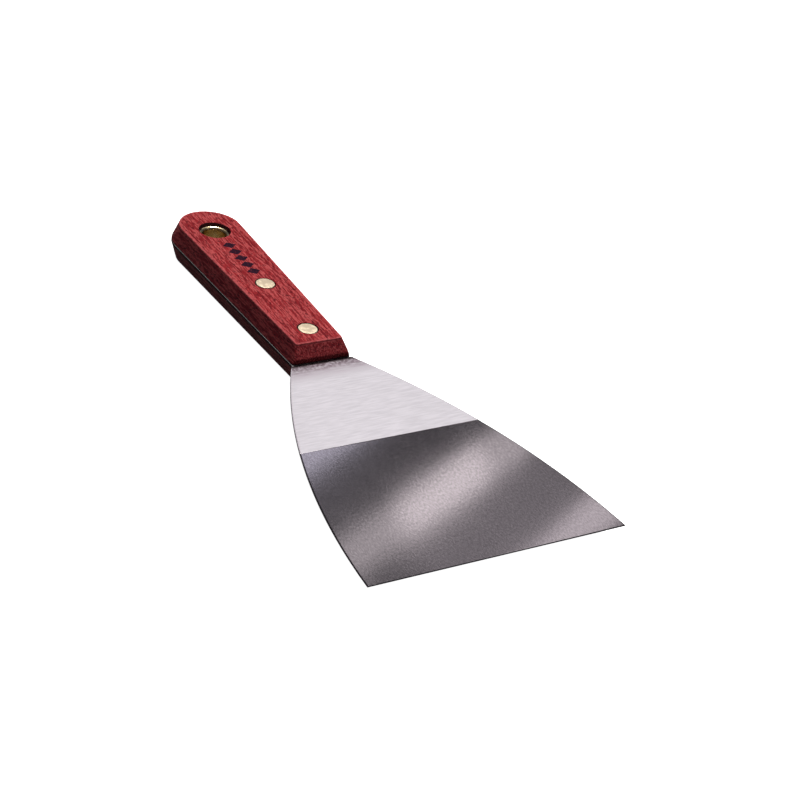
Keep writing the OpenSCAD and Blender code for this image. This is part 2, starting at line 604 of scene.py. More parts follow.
@dataclass(frozen=True)
class WoodFinish:
    """Red-brown dyed hardwood: long bands, fine fibres, dark open pores, painted edge highlights and
    painted shade.

    Attributes:
        shadow: dark bands.
        body: the wood between them.
        light: fibres.
        pore: open pores.
        edge_highlight: painted highlight on the rounded outer edges.
        painted_shade_colour: painted shade at the seams, in the seats and on the sides.
        bands: layer of long bands.
        fibres: layer of fibres.
        pores: layer of pores.
        fibre_weight: strength of the fibres.
        pore_weight: strength of the pores.
        grime_weight: strength of the painted shade.
        relief: depth of a pore.
    """

    shadow: Colour = (0.165, 0.010, 0.014)
    body: Colour = (0.285, 0.021, 0.025)
    light: Colour = (0.525, 0.094, 0.094)
    pore: Colour = (0.050, 0.004, 0.008)
    edge_highlight: Colour = (0.480, 0.095, 0.100)
    painted_shade_colour: Colour = (0.030, 0.016, 0.026)
    bands: Grain = Grain((18, 420, 420), 3.0, 0.30, 0.64)
    fibres: Grain = Grain((170, 1700, 1700), 2.0, 0.45, 0.57)
    pores: Grain = Grain((560, 2200, 2200), 1.0, 0.54, 0.62)
    fibre_weight: float = 0.78
    pore_weight: float = 0.7
    grime_weight: float = 0.85
    relief: float = 0.06 * MM

    def build(self, name: str, effects: Effects, stamp: Stamp | None = None) -> bpy.types.Material:
        """Makes the wood.

        Args:
            name: the material's name.
            effects: the shared node groups.
            stamp: the ornament, if this wood carries it.

        Returns:
            The material.
        """
        material, n, shader, at = new_material(name)
        fibres = effects.lines(n, at, self.fibres)
        pores = effects.lines(n, at, self.pores)
        # Painted shade: this mask darkens the seams, seats and sides.
        grime = n.attribute("grime")
        colour = n.mix(effects.lines(n, at, self.bands), rgba(self.shadow), rgba(self.body))
        colour = n.mix(n.math("MULTIPLY", fibres, self.fibre_weight), colour, rgba(self.light))
        colour = n.mix(n.math("MULTIPLY", pores, self.pore_weight), colour, rgba(self.pore))
        # Painted highlight along the rounded outer edges.
        colour = n.mix(effects.edge_wear_and_highlight_mask(n, at, 1.0), colour, rgba(self.edge_highlight))
        # Painted shade at the seams, in the seats and on the sides.
        colour = n.mix(n.math("MULTIPLY", grime, self.grime_weight), colour, rgba(self.painted_shade_colour))
        height = n.math("MULTIPLY_ADD", pores, -1.0, n.math("MULTIPLY", fibres, 0.4))
        if stamp is not None:
            mark = stamp.mask(n, at)
            colour = n.mix(n.math("MULTIPLY", mark, stamp.weight), colour, rgba(stamp.ink))
            height = n.math("MULTIPLY_ADD", mark, -stamp.depth, height)
        rough = n.ramp(fibres, 0, 1, 0.52, 0.42)
        finish_off(n, shader, colour, rough, height, self.relief, 0.6)
        shader.inputs["Specular IOR Level"].default_value = 0.02
        return material


@dataclass(frozen=True)
class SteelFinish:
    """Spring steel, brushed crossways near the handle and ground lengthways at the edge, with painted
    shade and a painted highlight.

    Attributes:
        grind_x: place of the grind line.
        front_x: front end of the handle.
        mid_z: height of the middle of the blade.
        brushed: clean steel near the handle.
        ground: clean steel in front of the grind line.
        rim_shade_brushed: painted shade on the cut edge near the handle.
        rim_shade_ground: painted shade on the cut edge in front of the grind line.
        stain: broad stain in front of the handle.
        smudge: small dark spots on the stain.
        painted_shade_colour: painted shade along the handle's front end and on the tang.
        tang_highlight: painted highlight along the tang's upper rim.
        brushed_rough: roughness near the handle.
        ground_rough: roughness in front of the grind line.
        stain_l: how far the stain reaches.
        smudge_l: how far the spots reach.
        rim_z: height over the middle at which the tang's painted highlight starts.
        brush: layer of cross brushing.
        scratch: layer of grinding lines.
        relief: depth of a line.
    """

    grind_x: float
    front_x: float
    mid_z: float
    brushed: Colour = (0.487, 0.467, 0.495)
    ground: Colour = (0.512, 0.462, 0.497)
    rim_shade_brushed: Colour = (0.38, 0.35, 0.38)
    rim_shade_ground: Colour = (0.06, 0.05, 0.06)
    stain: Colour = (0.24, 0.19, 0.22)
    smudge: Colour = (0.10, 0.07, 0.08)
    painted_shade_colour: Colour = (0.03, 0.02, 0.022)
    tang_highlight: Colour = (0.95, 0.92, 0.90)
    brushed_rough: float = 0.68
    ground_rough: float = 0.14
    stain_l: float = 13 * MM
    smudge_l: float = 6.5 * MM
    rim_z: float = 0.22 * MM
    brush: Grain = Grain((1400, 120, 120), 3.0)
    scratch: Grain = Grain((780, 1850, 1850), 3.0)
    relief: float = 0.0036 * MM

    def build(self, name: str, effects: Effects) -> bpy.types.Material:
        """Makes the steel, whose two zones meet at the grind line.

        Args:
            name: the material's name.
            effects: the shared node groups.

        Returns:
            The material.
        """
        material, n, shader, at = new_material(name)
        along, _, up = n.add("SeparateXYZ", {0: at}).outputs
        brush = effects.lines(n, at, self.brush)
        scratch = effects.lines(n, at, self.scratch)
        cloud = effects.clouds(n, at, 45.0, 0.35, 0.65)
        zone = n.ramp(along, self.grind_x, self.grind_x + 0.15 * MM)

        tone = n.swing(brush, 0.15, n.math("MULTIPLY_ADD", cloud, 0.05, 0.975))
        colour = self._soil(n, effects, at, along, brush, n.shaded(self.brushed, tone))
        colour = n.mix(zone, colour, n.shaded(self.ground, n.swing(scratch, 0.36, 1.0)))
        # Painted shade on the blade's walls and just inside its outline.
        rim_shade_colour = n.mix(zone, rgba(self.rim_shade_brushed), rgba(self.rim_shade_ground))
        colour = n.mix(n.ramp(n.attribute("rim"), 0.15, 0.60), colour, rim_shade_colour)
        colour = self._seam(n, along, up, brush, colour)

        soft = n.math("MULTIPLY_ADD", cloud, 0.02, self.brushed_rough)
        keen = n.math("MULTIPLY_ADD", cloud, 0.012, self.ground_rough)
        rough = n.math("MULTIPLY_ADD", zone, n.math("SUBTRACT", keen, soft), soft)
        height = n.math("MULTIPLY_ADD", zone, n.math("SUBTRACT", scratch, brush), brush)
        finish_off(n, shader, colour, rough, height, self.relief, 1.0)
        shader.inputs["Metallic"].default_value = 1.0
        return material

    def _soil(
        self, n: Nodes, effects: Effects, at: Socket, along: Socket, brush: Socket, colour: Socket
    ) -> Socket:
        """Lays the stain and its spots over the brushed steel in front of the handle.

        Args:
            n: the material's node tools.
            effects: the shared node groups.
            at: object coordinates.
            along: x alone.
            brush: mask of the brushing, which breaks the stain up.
            colour: colour of the clean steel.

        Returns:
            The stained colour.
        """
        near = n.ramp(along, self.front_x + self.stain_l, self.front_x)
        smear = n.math("MULTIPLY", near, n.math("MULTIPLY_ADD", brush, 0.8, 0.35))
        close = n.ramp(along, self.front_x + self.smudge_l, self.front_x + 0.5 * MM)
        spots = n.math("MULTIPLY", effects.clouds(n, at, 800.0, 0.40, 0.58), close)
        stained = n.mix(smear, colour, rgba(self.stain))
        return n.mix(n.math("MULTIPLY", spots, 0.9), stained, rgba(self.smudge))

    def _seam(self, n: Nodes, along: Socket, up: Socket, brush: Socket, colour: Socket) -> Socket:
        """Lays a painted shadow along the handle's front end, and painted shade and a painted highlight
        on the tang.

        Args:
            n: the material's node tools.
            along: x.
            up: z.
            brush: mask of the brushing, which makes the painted shadow's edge uneven.
            colour: colour of the blade.

        Returns:
            The finished colour.
        """
        # Painted shadow that the handle's front end throws on the blade.
        uneven = n.swing(brush, 0.5 * MM, along)
        root_shadow = n.ramp(uneven, self.front_x + 1.5 * MM, self.front_x + 0.8 * MM)
        colour = n.mix(n.math("MULTIPLY", root_shadow, 0.93), colour, rgba(self.painted_shade_colour))
        # On the tang: painted shade below the upper rim, and a painted highlight on the rim.
        above_mid = n.math("SUBTRACT", up, self.mid_z)
        rim = n.ramp(above_mid, self.rim_z, self.rim_z + 0.06 * MM)
        on_tang = n.ramp(along, self.front_x + 0.1 * MM, self.front_x - 0.1 * MM)
        return n.mix(on_tang, colour, n.mix(rim, rgba(self.painted_shade_colour), rgba(self.tang_highlight)))


@dataclass(frozen=True)
class BrassFinish:
    """Yellow brass with turning marks round the piece's own axis, cloudy in places.

    Attributes:
        clean: brass worn bright.
        dull: tarnished patches.
        rough: roughness where it is clean.
        rings_per_metre: how close the turning marks lie.
    """

    clean: Colour = (0.62, 0.53, 0.395)
    dull: Colour = (0.46, 0.385, 0.29)
    rough: float = 0.56
    rings_per_metre: float = 5200.0

    def build(self, name: str, effects: Effects) -> bpy.types.Material:
        """Makes the brass; the marks follow the mesh's own distance from its axis.

        Args:
            name: the material's name.
            effects: the shared node groups.

        Returns:
            The material.
        """
        material, n, shader, at = new_material(name)
        out = n.math("MULTIPLY", n.attribute("radius"), self.rings_per_metre)
        marks = n.noise(n.add("CombineXYZ", {0: out}).outputs[0], 1.0)
        cloud = effects.clouds(n, at, 520.0, 0.38, 0.58)
        # Edges stay clean and brighter: wear and a painted highlight.
        kept = n.math("SUBTRACT", 1.0, effects.edge_wear_and_highlight_mask(n, at, 0.9))
        dull = n.math("MULTIPLY", n.math("MULTIPLY", cloud, kept), 0.9)
        colour = n.mix(dull, rgba(self.clean), rgba(self.dull))
        rough = n.math("MULTIPLY_ADD", cloud, 0.12, self.rough)
        finish_off(n, shader, colour, rough, marks, 0.02 * MM, 0.25)
        shader.inputs["Metallic"].default_value = 1.0
        return material


# ---------------------------------------------------------------- blade


@dataclass
class Blade:
    """The one steel piece: a bowed, taper-ground blade and a tang as long as the handle.

    Attributes:
        knife: the shared sizes.
        root_half: half the blade's width at the handle.
        front_half: half the tang's width at the handle's front end.
        tang_inset: how far the tang stays inside the scales.
        side_r: radius of the blade's bowed sides.
        grind_from: distance from the handle to the grind line.
        step: how far each face falls at the grind line.
        step_run: length of that fall.
        edge_t: thickness of the working edge.
        corner: radius of the broken corners.
        rim_shade_w: width of the painted shade band just inside the outline.
        hole_rs: radius of each hole in the tang, by its place.
    """

    knife: Knife
    root_half: float = 12.6 * MM
    front_half: float = 11.9 * MM
    tang_inset: float = 0.1 * MM
    side_r: float = 265 * MM
    grind_from: float = 50 * MM
    step: float = 0.06 * MM
    step_run: float = 0.14 * MM
    edge_t: float = 0.5 * MM
    corner: float = 0.12 * MM
    rim_shade_w: float = 0.45 * MM
    hole_rs: dict[float, float] = field(default_factory=dict)

    @property
    def grind_x(self) -> float:
        """Place of the grind line."""
        return self.knife.front_x + self.grind_from

    def stations(self) -> np.ndarray:
        """Places the sections, crowded at the round end, the grind line and the edge.

        Returns:
            Every section's x, rising.
        """
        k = self.knife
        r = k.butt_r - self.tang_inset
        turn = np.radians(np.linspace(3, 88, 24))
        front = k.front_x
        step_x = self.grind_x + np.array([0, 0.3, 0.7, 1.0]) * self.step_run
        lip = k.edge_x - self.corner * np.array([1, 0.62, 0.3, 0.08, 0])
        return np.concatenate([
            k.round_x - r * np.cos(turn),
            np.linspace(k.round_x, front - 0.02 * MM, 18),
            np.linspace(front, self.grind_x - 0.3 * MM, 22),
            step_x,
            np.linspace(self.grind_x + 0.6 * MM, k.edge_x - 0.4 * MM, 26),
            lip,
        ])

    def half_width(self, x: np.ndarray) -> np.ndarray:
        """Half the width at x.

        In front of the handle the side is a circle of radius side_r through the root's corner
        and the edge's corner. On the tang it is the rounded end's circle, then a straight line.

        Args:
            x: places along the knife.

        Returns:
            Half the width at each.
        """
        k = self.knife
        a = np.array([k.front_x, self.root_half])
        b = np.array([k.edge_x, k.edge_half])
        chord = b - a
        length = np.hypot(*chord)
        inward = np.array([chord[1], -chord[0]]) / length
        centre = (a + b) / 2 + inward * math.sqrt(self.side_r**2 - (length / 2) ** 2)
        bowed = centre[1] + np.sqrt(np.maximum(self.side_r**2 - (x - centre[0]) ** 2, 0))
        r = k.butt_r - self.tang_inset
        rounded = np.sqrt(np.maximum(r**2 - (x - k.round_x) ** 2, 0))
        straight = r + (self.front_half - r) * (x - k.round_x) / (k.front_x - k.round_x)
        tang = np.where(x < k.round_x, rounded, straight)
        return np.where(x < k.front_x - 0.01 * MM, tang, bowed)

    def half_thickness(self, x: np.ndarray) -> np.ndarray:
        """Half the thickness at x.

        It is level up to the grind line, falls by a small step there, and then tapers straight
        to the edge, whose corners are quarter circles.

        Args:
            x: places along the knife.

        Returns:
            Half the thickness at each.
        """
        k = self.knife
        full, thin = k.tang_t / 2, self.edge_t / 2
        start = self.grind_x + self.step_run
        taper = full - self.step + (thin - full + self.step) * (x - start) / (k.edge_x - start)
        falling = full - self.step * (x - self.grind_x) / self.step_run
        half = np.where(x < self.grind_x, full, np.where(x < start, falling, taper))
        ahead = np.clip((x - (k.edge_x - self.corner)) / self.corner, 0, 1)
        return half - self.corner * (1 - np.sqrt(1 - ahead**2))

    def build(self) -> bpy.types.Object:
        """Makes the blade as rounded rectangles along x, drills it and marks its rim for painted shade.

        Returns:
            The finished object.
        """
        x = self.stations()
        half_w, half_t = self.half_width(x), self.half_thickness(x)
        round_r = np.minimum(self.corner, np.minimum(half_t, half_w) * 0.6)
        flat = np.linspace(-1, 1, 25)
        turn = np.radians(np.linspace(0, 90, 5))
        quarter = np.stack([np.sin(turn), np.cos(turn)])
        y_parts, z_parts = [], []
        inner_w, inner_t = (half_w - round_r)[:, None], (half_t - round_r)[:, None]
        for side, top in ((1, 1), (1, -1), (-1, -1), (-1, 1)):
            order = slice(None) if side * top > 0 else slice(None, None, -1)
            y_parts.append(side * (inner_w + round_r[:, None] * quarter[0][None, order]))
            z_parts.append(top * (inner_t + round_r[:, None] * quarter[1][None, order]))
            if side > 0 > top or side < 0 < top:
                sweep = inner_w * flat[1:-1]
                outermost = inner_w - np.minimum(self.rim_shade_w, inner_w / 24)
                sweep[:, [0, -1]] = outermost * (-1, 1)
                y_parts.append(sweep * top)
                z_parts.append(np.broadcast_to(top * half_t[:, None], sweep.shape))
        y, z = np.hstack(y_parts), np.hstack(z_parts)
        rings = np.stack([np.broadcast_to(x[:, None], y.shape), y, z + self.knife.mid_z], -1)
        piece = skin("blade_steel", rings)
        cut(piece, [self._drill(at, r) for at, r in self.hole_rs.items()])
        # The rim mask carries the painted shade on the walls.
        set_attribute(piece, "rim", self._rim_shade(positions(piece)))
        shade(piece)
        return piece

    def _rim_shade(self, at: np.ndarray) -> np.ndarray:
        """Marks the walls of the blade, where shade is painted.

        Args:
            at: vertices.

        Returns:
            1 on the walls, falling to 0 just inside the outline.
        """
        inside = self.half_width(at[:, 0]) - np.abs(at[:, 1])
        sides = 1 - smoothstep(inside, 0, self.corner + self.rim_shade_w)
        ahead = smoothstep(at[:, 0], self.knife.edge_x - 1.2 * self.corner, self.knife.edge_x)
        return np.maximum(sides, ahead)

    def _drill(self, x: float, r: float) -> bpy.types.Object:
        """A plain round cutter through the tang."""
        k = self.knife
        low, high = k.mid_z - k.tang_t, k.mid_z + k.tang_t
        return skin("drill", np.stack([ring_at(x, r, low), ring_at(x, r, high)]))


def ring_at(x: float, r: float, z: float, around: int = 64) -> np.ndarray:
    """A level circle of points about the upright axis at x, at radius r and height z."""
    a = np.linspace(0, 2 * math.pi, around, endpoint=False)
    return np.stack([x + r * np.cos(a), r * np.sin(a), np.full(around, z)], -1)


# ---------------------------------------------------------------- scales


class Side(Enum):
    """Which face of the tang a scale lies on, as the sign of its height."""

    TOP = 1
    BOTTOM = -1


@dataclass
class Scale:
    """One wooden half of the handle, with eased edges and its holes.

    Heights in a scale count from the tang outwards.

    Attributes:
        knife: the shared sizes.
        side: the face of the tang that it lies on.
        heads: how far each rivet's head stands out of the face, by the rivet's place.
        front_half: half the width in front, at the tang.
        side_lean: how far the sides lean in.
        bevel_l: length of the bevel in front.
        lip_h: height of the upright front under the bevel.
        knee: softness of the bend between lip and bevel.
        corner_r: radius of the front corners in plan.
        ease: radius of the outer edge.
        foot_ease: radius of the edge against the tang.
        front_foot: the same in front.
        seat_r: radius of a rivet's seat.
        shank_r: radius of the hole for its shank.
        head_t: thickness of its head.
        tube_r: radius of the hole for the eyelet.
        shoulder: width of the slope under the eyelet's flare.
        recess_r: radius of the hang hole's recess.
        recess_depth: depth of that recess.
        mouth: width of the broken edge round a hole.
    """

    knife: Knife
    side: Side
    heads: dict[float, float]
    front_half: float = 12.0 * MM
    side_lean: float = 2.3 * MM
    bevel_l: float = 3.4 * MM
    lip_h: float = 2.0 * MM
    knee: float = 0.22 * MM
    corner_r: float = 0.9 * MM
    ease: float = 0.45 * MM
    foot_ease: float = 0.10 * MM
    front_foot: float = 0.60 * MM
    seat_r: float = 4.0 * MM
    shank_r: float = 2.45 * MM
    head_t: float = 1.5 * MM
    tube_r: float = 5.0 * MM
    shoulder: float = 0.6 * MM
    recess_r: float = 6.25 * MM
    recess_depth: float = 1.8 * MM
    mouth: float = 0.16 * MM

    def outline(self, inset: float, setback: float) -> np.ndarray:
        """The handle's plan, moved in by the inset and shortened in front by the setback.

        It is the hull of a circle at the rounded end and two small corner circles in front. The
        straight sides touch them where a normal n has n . (c2 - c1) = r1 - r2. The upper half is
        worked out and mirrored.

        Args:
            inset: distance by which the sides move in.
            setback: distance by which the front moves back.

        Returns:
            The plan's points in order, as an array of x and y.
        """
        k = self.knife
        r1, r2 = k.butt_r - inset, self.corner_r
        end = k.front_x - setback
        corner = np.array([end - r2, self.front_half - inset - r2])
        away = corner - np.array([k.round_x, 0])
        theta = math.degrees(
            math.atan2(away[1], away[0]) + math.acos((r1 - r2) / np.hypot(*away))
        )
        front = np.stack([np.full(8, end), np.linspace(0, corner[1], 9)[:-1]], -1)
        small = arc(tuple(corner), r2, 0, theta, 9)
        big = arc((k.round_x, 0), r1, theta, 180, 40)
        share = np.linspace(0, 1, 42)[1:-1, None]
        straight = small[-1] * (1 - share) + big[0] * share
        upper = np.vstack([front, small, straight, big])
        lower = upper[1:-1][::-1] * (1, -1)
        return np.vstack([upper, lower])

    def levels(self) -> np.ndarray:
        """Height, inset and setback of each outline, from the tang to the outer face.

        The foot and the outer edge are quarter circles, with a wider one in front. The front is
        upright up to the lip and then leans back, bent by knee * log(1 + e^((z - lip) / knee)).

        Returns:
            One row of three for each outline.
        """
        top = self.knife.scale_t
        turn = np.radians(np.linspace(0, 90, 6))
        foot_z = self.front_foot * (1 - np.cos(turn))
        body_z = np.linspace(self.front_foot, top - self.ease, 24)[1:]
        z = np.concatenate([foot_z, body_z])
        inset = self.side_lean * z / (top - self.ease) + self.rise(z, self.foot_ease)
        slope = self.bevel_l / (top - self.ease - self.lip_h)
        setback = slope * self.knee * np.logaddexp(0, (z - self.lip_h) / self.knee)
        setback += self.rise(z, self.front_foot)
        edge_z = top - self.ease * (1 - np.sin(turn[1:]))
        edge_in = self.ease * (1 - np.cos(turn[1:]))
        rows = np.stack([z, inset, setback], -1)
        edge = np.stack([edge_z, inset[-1] + edge_in, setback[-1] + edge_in], -1)
        shelf = edge[-1:] + np.array([0, 0.7, 0.7]) * MM
        return np.vstack([rows, edge, shelf])

    @staticmethod
    def rise(z: np.ndarray, r: float) -> np.ndarray:
        """How far a foot of radius r is rounded in at height z."""
        return r - np.sqrt(r**2 - np.clip(r - z, 0, r) ** 2)

    def to_frame(self, points: np.ndarray) -> np.ndarray:
        """Turns heights above the tang into heights in the frame.

        Args:
            points: an array whose last coordinate is the height.

        Returns:
            A placed copy.
        """
        k = self.knife
        placed = points.copy()
        placed[..., -1] = k.mid_z + self.side.value * (k.tang_t / 2 + points[..., -1])
        return placed

    def cutter(self, x: float, steps: list[tuple[float, float]]) -> bpy.types.Object:
        """A turned cutter at x, from radius and height steps."""
        rings = np.stack([ring_at(x, r, z, 96) for r, z in steps])
        return skin("cutter", self.to_frame(rings))

    def rivet_hole(self, x: float, proud: float) -> bpy.types.Object:
        """The cutter for one rivet: shank hole, flat seat and a softened mouth.

        Args:
            x: the rivet's place.
            proud: how far its head stands out of the face.

        Returns:
            The cutter.
        """
        top, past = self.knife.scale_t, 1 * MM
        floor = top - self.head_t + proud
        return self.cutter(x, [
            (self.shank_r, -past), (self.shank_r, floor), (self.seat_r, floor),
            (self.seat_r, top - self.mouth),
            (self.seat_r + 0.25 * self.mouth, top - 0.5 * self.mouth),
            (self.seat_r + self.mouth, top), (self.seat_r + 6 * self.mouth, top + past),
        ])

    def hang_hole(self) -> bpy.types.Object:
        """The cutter for the eyelet: tube hole, sloping shoulder, recess and softened mouth.

        Returns:
            The cutter.
        """
        top, past = self.knife.scale_t, 1 * MM
        floor = top - self.recess_depth
        soft = 1.8 * self.mouth
        return self.cutter(self.knife.hang_x, [
            (self.tube_r, -past), (self.tube_r, floor - self.shoulder),
            (self.tube_r + self.shoulder, floor), (self.recess_r, floor),
            (self.recess_r, top - soft), (self.recess_r + 0.10 * soft, top - 0.6 * soft),
            (self.recess_r + 0.4 * soft, top - 0.25 * soft),
            (self.recess_r + soft, top), (self.recess_r + 4 * soft, top + past),
        ])

    def build(self, name: str) -> bpy.types.Object:
        """Makes the scale, drills it, and marks where a highlight and shade are painted on it.

        Args:
            name: the object's name.

        Returns:
            The finished object.
        """
        levels = self.levels()
        plans = [self.outline(inset, setback) for _, inset, setback in levels]
        rings = np.stack([
            np.column_stack([plan, np.full(len(plan), z)]) for plan, z in zip(plans, levels[:, 0])
        ])
        piece = skin(name, self.to_frame(rings))
        rivet_holes = [self.rivet_hole(x, proud) for x, proud in self.heads.items()]
        cut(piece, [*rivet_holes, self.hang_hole()])
        at = positions(piece)
        height = self.side.value * (at[:, 2] - self.knife.mid_z) - self.knife.tang_t / 2
        # A painted highlight along the outer edge, and painted shade at the seams, seats and sides.
        set_attribute(piece, "edge", self._edge_highlight(at, height))
        set_attribute(piece, "grime", self._painted_shade(at, height))
        shade(piece, 40)
        return piece

    def _painted_shade(self, at: np.ndarray, height: np.ndarray) -> np.ndarray:
        """Marks painted shade at the seam, in the sunk seats and on the sides.

        Args:
            at: vertices.
            height: their heights above the tang.

        Returns:
            1 at the seam and in the seats, less on the sides and bevel, and 0 on the face.
        """
        front = self.knife.front_x
        # Painted shadow along the seam, reaching higher at the front lip.
        near_front = smoothstep(at[:, 0], front - 1.2 * MM, front - 0.7 * MM)
        reach = 0.22 * MM + 0.9 * MM * near_front
        seam = 1 - smoothstep(height / reach, 0.35, 1.0)
        # Painted shade in the rivet seats and the hang hole's recess.
        walls = [(x, self.seat_r) for x in self.heads] + [(self.knife.hang_x, self.recess_r)]
        inside = [np.hypot(at[:, 0] - x, at[:, 1]) < r + 0.03 * MM for x, r in walls]
        # Painted shade on the sides, lighter on the front bevel.
        on_bevel = smoothstep(at[:, 0], front - 4.4 * MM, front - 3.6 * MM)
        flank = (0.42 - 0.20 * on_bevel) * (height < self.knife.scale_t - 0.6 * self.ease)
        return np.maximum(np.maximum(seam, flank), np.any(inside, axis=0))

    def _edge_highlight(self, at: np.ndarray, height: np.ndarray) -> np.ndarray:
        """Marks the rounded outer edge, where a highlight is painted.

        Args:
            at: vertices.
            height: their heights above the tang.

        Returns:
            1 on the edge, falling to 0 on the flat face and down the side.
        """
        k = self.knife
        rounded = smoothstep(height, k.scale_t - 2.2 * self.ease, k.scale_t - 0.6 * self.ease)
        r1 = k.butt_r - self.side_lean - self.ease
        share = np.clip((at[:, 0] - k.round_x) / (k.front_x - k.round_x), 0, 1)
        half = r1 + (self.front_half - k.butt_r) * share
        ahead = np.minimum(at[:, 0] - k.round_x, 0)
        inner_y = half - np.hypot(at[:, 1], ahead)
        inner_x = k.front_x - self.bevel_l - self.ease - at[:, 0]
        flat = 1 - smoothstep(np.minimum(inner_y, inner_x), 0.05 * MM, 0.6 * MM)
        return rounded * flat


# ---------------------------------------------------------------- brass


class Half(Enum):
    """The two halves of a cutler's rivet."""

    SOCKET = "socket"
    PIN = "pin"


@dataclass
class Rivet:
    """A two-part rivet: a hollow half with the upper head, a solid half with the lower one.

    Attributes:
        knife: the shared sizes.
        name: the start of its CAD nodes' names.
        x: its place.
        head_r: radius of a head.
        head_t: thickness of a head.
        rim: radius of the head's rounded rim.
        crown: how far the head's face is domed.
        shank_r: radius of the hollow half.
        pin_r: radius of the solid half.
        end_gap: space over the solid half's end.
    """

    knife: Knife
    name: str
    x: float
    head_r: float = 3.65 * MM
    head_t: float = 1.5 * MM
    rim: float = 0.28 * MM
    crown: float = 0.06 * MM
    shank_r: float = 2.4 * MM
    pin_r: float = 1.5 * MM
    end_gap: float = 0.8 * MM

    def head(self, under: float, top: float, inner_r: float) -> np.ndarray:
        """The head's half section, from its underside at inner_r up to the axis.

        The rim is a quarter circle, and the face is a flat dome that falls by crown * (r / R)^2.

        Args:
            under: height of the underside.
            top: height of the crown.
            inner_r: radius at which the underside meets the shank.

        Returns:
            The section's points, as an array of radius and height.
        """
        up = 1 if top > under else -1
        face_r = self.head_r - self.rim
        turn = np.radians(np.linspace(0, 90, 8))
        rim_r = face_r + self.rim * np.cos(turn)
        rim_z = top - up * (self.crown + self.rim * (1 - np.sin(turn)))
        r = np.linspace(face_r, 0.01 * MM, 14)[1:]
        face_z = top - up * self.crown * (r / face_r) ** 2
        lower = np.array([[inner_r, under], [self.head_r - 0.1 * MM, under],
                          [self.head_r, under + up * 0.1 * MM]])
        return np.vstack([lower, np.column_stack([rim_r, rim_z]), np.column_stack([r, face_z])])

    def build(self, half: Half) -> bpy.types.Object:
        """Turns one half; its heights come from the CAD node's box.

        Args:
            half: which half.

        Returns:
            The finished object.
        """
        low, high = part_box(f"{self.name}_{half.value}")
        if half is Half.SOCKET:
            seat, far = high.z - self.head_t, low.z
            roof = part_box(f"{self.name}_{Half.PIN.value}")[1].z + self.end_gap
            bore = np.array([[0.01 * MM, roof], [self.pin_r, roof], [self.pin_r, far],
                             [self.shank_r, far], [self.shank_r, seat]])
            profile = np.vstack([bore, self.head(seat, high.z, self.shank_r + 0.02 * MM)])
        else:
            seat = low.z + self.head_t
            pin = np.array([[0.01 * MM, high.z], [self.pin_r - 0.2 * MM, high.z],
                            [self.pin_r, high.z - 0.2 * MM], [self.pin_r, seat]])
            profile = np.vstack([pin, self.head(seat, low.z, self.pin_r + 0.02 * MM)])
        piece = lathe(f"{self.name}_{half.value}_brass", profile, self.x)
        at = positions(piece)
        radius = np.hypot(at[:, 0] - self.x, at[:, 1])
        set_attribute(piece, "radius", radius)
        # The head's rim is marked for wear and a painted highlight.
        inner, outer = self.head_r - 2.2 * self.rim, self.head_r - 0.4 * self.rim
        set_attribute(piece, "edge", smoothstep(radius, inner, outer))
        shade(piece)
        return piece


@dataclass
class Eyelet:
    """The brass tube that lines the hang hole, rolled outwards at both ends.

    Attributes:
        knife: the shared sizes.
        wall: thickness of the tube.
        flare_r: inner radius of the rolled end.
    """

    knife: Knife
    wall: float = 0.5 * MM
    flare_r: float = 1.1 * MM

    def build(self) -> bpy.types.Object:
        """Turns the tube: straight wall, a quarter-ring flare and a round lip at each end.

        Returns:
            The finished object.
        """
        low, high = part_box("hang_hole_eyelet")
        mid = (low.z + high.z) / 2
        start = high.z - mid - self.flare_r
        bore, lip = self.knife.bore_r, self.wall / 2
        centre = (bore + self.flare_r, start)
        inner = arc(centre, self.flare_r, 180, 90, 12)
        end = arc((centre[0], start + self.flare_r - lip), lip, 90, -90, 9)
        outer = arc(centre, self.flare_r - self.wall, 90, 180, 9)
        upper = np.vstack([inner, end[1:-1], outer])
        lower = upper[::-1] * (1, -1)
        profile = np.vstack([upper, lower]) + (0, mid)
        piece = lathe("hang_hole_eyelet_brass", profile, self.knife.hang_x, 128)
        at = positions(piece)
        radius = np.hypot(at[:, 0] - self.knife.hang_x, at[:, 1])
        set_attribute(piece, "radius", radius + np.abs(at[:, 2] - mid))
        # The flare is marked for wear and a painted highlight.
        set_attribute(piece, "edge", smoothstep(radius, bore + 0.2 * MM, bore + 0.9 * MM))
        shade(piece)
        return piece


# ---------------------------------------------------------------- studio


@dataclass
class Softbox:
    """A rectangular studio light that the camera itself doesn't see.

    Attributes:
        name: the light's name.
        centre: place of its middle.
        target: point that it faces.
        size: length and width.
        radiance: brightness of its face.
        colour: tint.
        long_axis: direction of its length.
    """

    name: str
    centre: Vector
    target: Vector
    size: tuple[float, float]
    radiance: float
    colour: Colour = (1, 1, 1)
    long_axis: Vector = field(default_factory=lambda: Vector((1, 0, 0)))

    def build(self) -> bpy.types.Object:
        """Makes the light; its power is radiance times area times pi.

        Returns:
            The light.
        """
        data = bpy.data.lights.new(self.name, "AREA")
        data.shape = "RECTANGLE"
        data.size, data.size_y = self.size
        data.energy = self.radiance * math.pi * self.size[0] * self.size[1]
        data.color = self.colour
        lamp = link(bpy.data.objects.new(self.name, data))
        back = (self.centre - self.target).normalized()
        x_axis = (self.long_axis - back * self.long_axis.dot(back)).normalized()
        y_axis = back.cross(x_axis)
        turn = Matrix((x_axis, y_axis, back)).transposed().to_4x4()
        lamp.matrix_world = Matrix.Translation(self.centre) @ turn
        lamp.visible_camera = False
        return lamp


